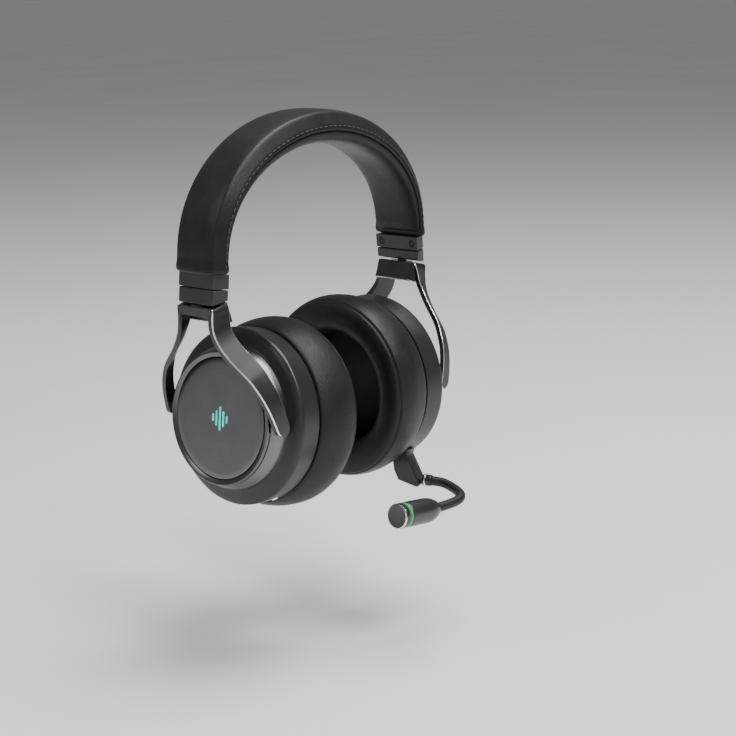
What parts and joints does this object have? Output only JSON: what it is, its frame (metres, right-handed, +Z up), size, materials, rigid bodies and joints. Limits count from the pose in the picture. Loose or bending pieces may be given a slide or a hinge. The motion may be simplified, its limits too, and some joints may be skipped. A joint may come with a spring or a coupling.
{
  "type": "gaming headset",
  "caption": "Over-ear wireless gaming headset: padded headband, sliding yokes, tilting ear cups, plug-in boom microphone.",
  "frame": {"origin": "middle of the underside of the headband cushion, where a head or a hanger carries the headset", "axes": "+Z up, -Y the way the wearer faces, +X the wearer's left"},
  "size_m": [0.1664, 0.1243, 0.211],
  "materials": {
    "black_leatherette": "soft satin leatherette",
    "head_cushion": "soft satin leatherette",
    "driver_cloth": "fine black knit",
    "steel": "plain steel",
    "connector_metal": "plated steel",
    "driver_metal": "plain steel",
    "gunmetal": "dark satin with polished edges",
    "polished_trim": "polished",
    "brushed_plate": "spun dark aluminium",
    "emblem_light": "lit light guide",
    "mute_light": "lit light guide",
    "status_light": "clear light guide",
    "battery_wrap": "satin",
    "circuit_board": "solder mask",
    "black_rubber": "matte",
    "capsule_satin": "satin",
    "inner_plastic": "matte",
    "shell_plastic": "satin"
  },
  "bodies": {
    "headband": {"headband_cover": "black_leatherette", "headband_cushion": "head_cushion", "spring_band": "steel", "link_cable": "black_rubber", "end_cap_right": "shell_plastic", "end_cap_left": "shell_plastic", "end_cap_screw_right_front": "steel", "end_cap_screw_right_rear": "steel", "end_cap_screw_left_front": "steel", "end_cap_screw_left_rear": "steel"},
    "slider_right": {"slider_block_right": "shell_plastic", "slider_strip_right": "steel"},
    "fork_right": {"yoke_right": "gunmetal", "swivel_pin_right": "steel", "swivel_washer_right": "inner_plastic", "pivot_pin_right_front": "steel", "pivot_pin_right_rear": "steel"},
    "cup_right": {"cup_housing_right": "shell_plastic", "plate_bezel_right": "brushed_plate", "outer_plate_right": "brushed_plate", "emblem_right": "emblem_light", "driver_baffle_right": "inner_plastic", "driver_right": "driver_metal", "cushion_ring_right": "inner_plastic", "driver_cloth_right": "driver_cloth", "ear_cushion_right": "black_leatherette", "battery": "battery_wrap", "control_board": "circuit_board", "status_light": "status_light"},
    "slider_left": {"slider_block_left": "shell_plastic", "slider_strip_left": "steel"},
    "fork_left": {"yoke_left": "gunmetal", "swivel_pin_left": "steel", "swivel_washer_left": "inner_plastic", "pivot_pin_left_front": "steel", "pivot_pin_left_rear": "steel"},
    "cup_left": {"cup_housing_left": "shell_plastic", "plate_bezel_left": "brushed_plate", "outer_plate_left": "brushed_plate", "emblem_left": "emblem_light", "driver_baffle_left": "inner_plastic", "driver_left": "driver_metal", "cushion_ring_left": "inner_plastic", "driver_cloth_left": "driver_cloth", "ear_cushion_left": "black_leatherette", "main_board": "circuit_board", "usb_port": "connector_metal", "audio_jack": "connector_metal", "microphone_socket": "connector_metal"},
    "volume_wheel": {"volume_wheel": "shell_plastic"},
    "power_switch": {"power_switch": "shell_plastic"},
    "pairing_button": {"pairing_button": "shell_plastic"},
    "microphone_mount": {"microphone_plug": "connector_metal", "microphone_base": "shell_plastic"},
    "boom_collar": {"boom_collar": "polished_trim"},
    "boom": {"microphone_boom": "black_rubber", "capsule_body": "capsule_satin", "mute_light_ring": "mute_light"},
    "mute_button": {"mute_button": "capsule_satin"}
  },
  "joints": [
    {"name": "slide_right", "type": "slide", "parent": "headband", "child": "slider_right", "axis": [-0.0872, 0, -0.9962], "range_m": [0, 0.022]},
    {"name": "swivel_right", "type": "hinge", "parent": "slider_right", "child": "fork_right", "pos_m": [-0.0635, 0, -0.1336], "axis": [-0.2181, 0, 0.9759], "range_deg": [-10, 90]},
    {"name": "tilt_right", "type": "hinge", "parent": "fork_right", "child": "cup_right", "pos_m": [-0.0635, 0, -0.1336], "axis": [0, 1, 0], "range_deg": [-9, 9]},
    {"name": "slide_left", "type": "slide", "parent": "headband", "child": "slider_left", "axis": [0.0872, 0, -0.9962], "range_m": [0, 0.022]},
    {"name": "swivel_left", "type": "hinge", "parent": "slider_left", "child": "fork_left", "pos_m": [0.0635, 0, -0.1336], "axis": [0.2181, 0, 0.9759], "range_deg": [-15, 10]},
    {"name": "tilt_left", "type": "hinge", "parent": "fork_left", "child": "cup_left", "pos_m": [0.0635, 0, -0.1336], "axis": [0, 1, 0], "range_deg": [-15, 3]},
    {"name": "volume_turn", "type": "hinge", "parent": "cup_right", "child": "volume_wheel", "pos_m": [-0.05163, 0.03128, -0.15942], "axis": [0.9945, 0, -0.1045], "continuous": true},
    {"name": "power_slide", "type": "slide", "parent": "cup_right", "child": "power_switch", "axis": [0.0475, 0.891, 0.4515], "range_m": [0, 0.003]},
    {"name": "pairing_press", "type": "slide", "parent": "cup_right", "child": "pairing_button", "axis": [0.1035, -0.1392, 0.9848], "range_m": [0, 0.0006], "stiffness_N_per_m": 600},
    {"name": "microphone_pull", "type": "slide", "parent": "cup_left", "child": "microphone_mount", "axis": [0, -0.5446, -0.8387], "range_m": [0, 0.009]},
    {"name": "boom_roll", "type": "hinge", "parent": "microphone_mount", "child": "boom_collar", "pos_m": [0.0468, -0.039, -0.1849], "axis": [0.3007, -0.9537, 0], "range_deg": [-30, 60]},
    {"name": "boom_bend", "type": "hinge", "parent": "boom_collar", "child": "boom", "pos_m": [0.04827, -0.04367, -0.1849], "axis": [0, 0, 1], "range_deg": [-15, 15]},
    {"name": "mute_press", "type": "slide", "parent": "boom", "child": "mute_button", "axis": [0.9943, 0, -0.1063], "range_m": [0, 0.0008], "stiffness_N_per_m": 600}
  ]
}
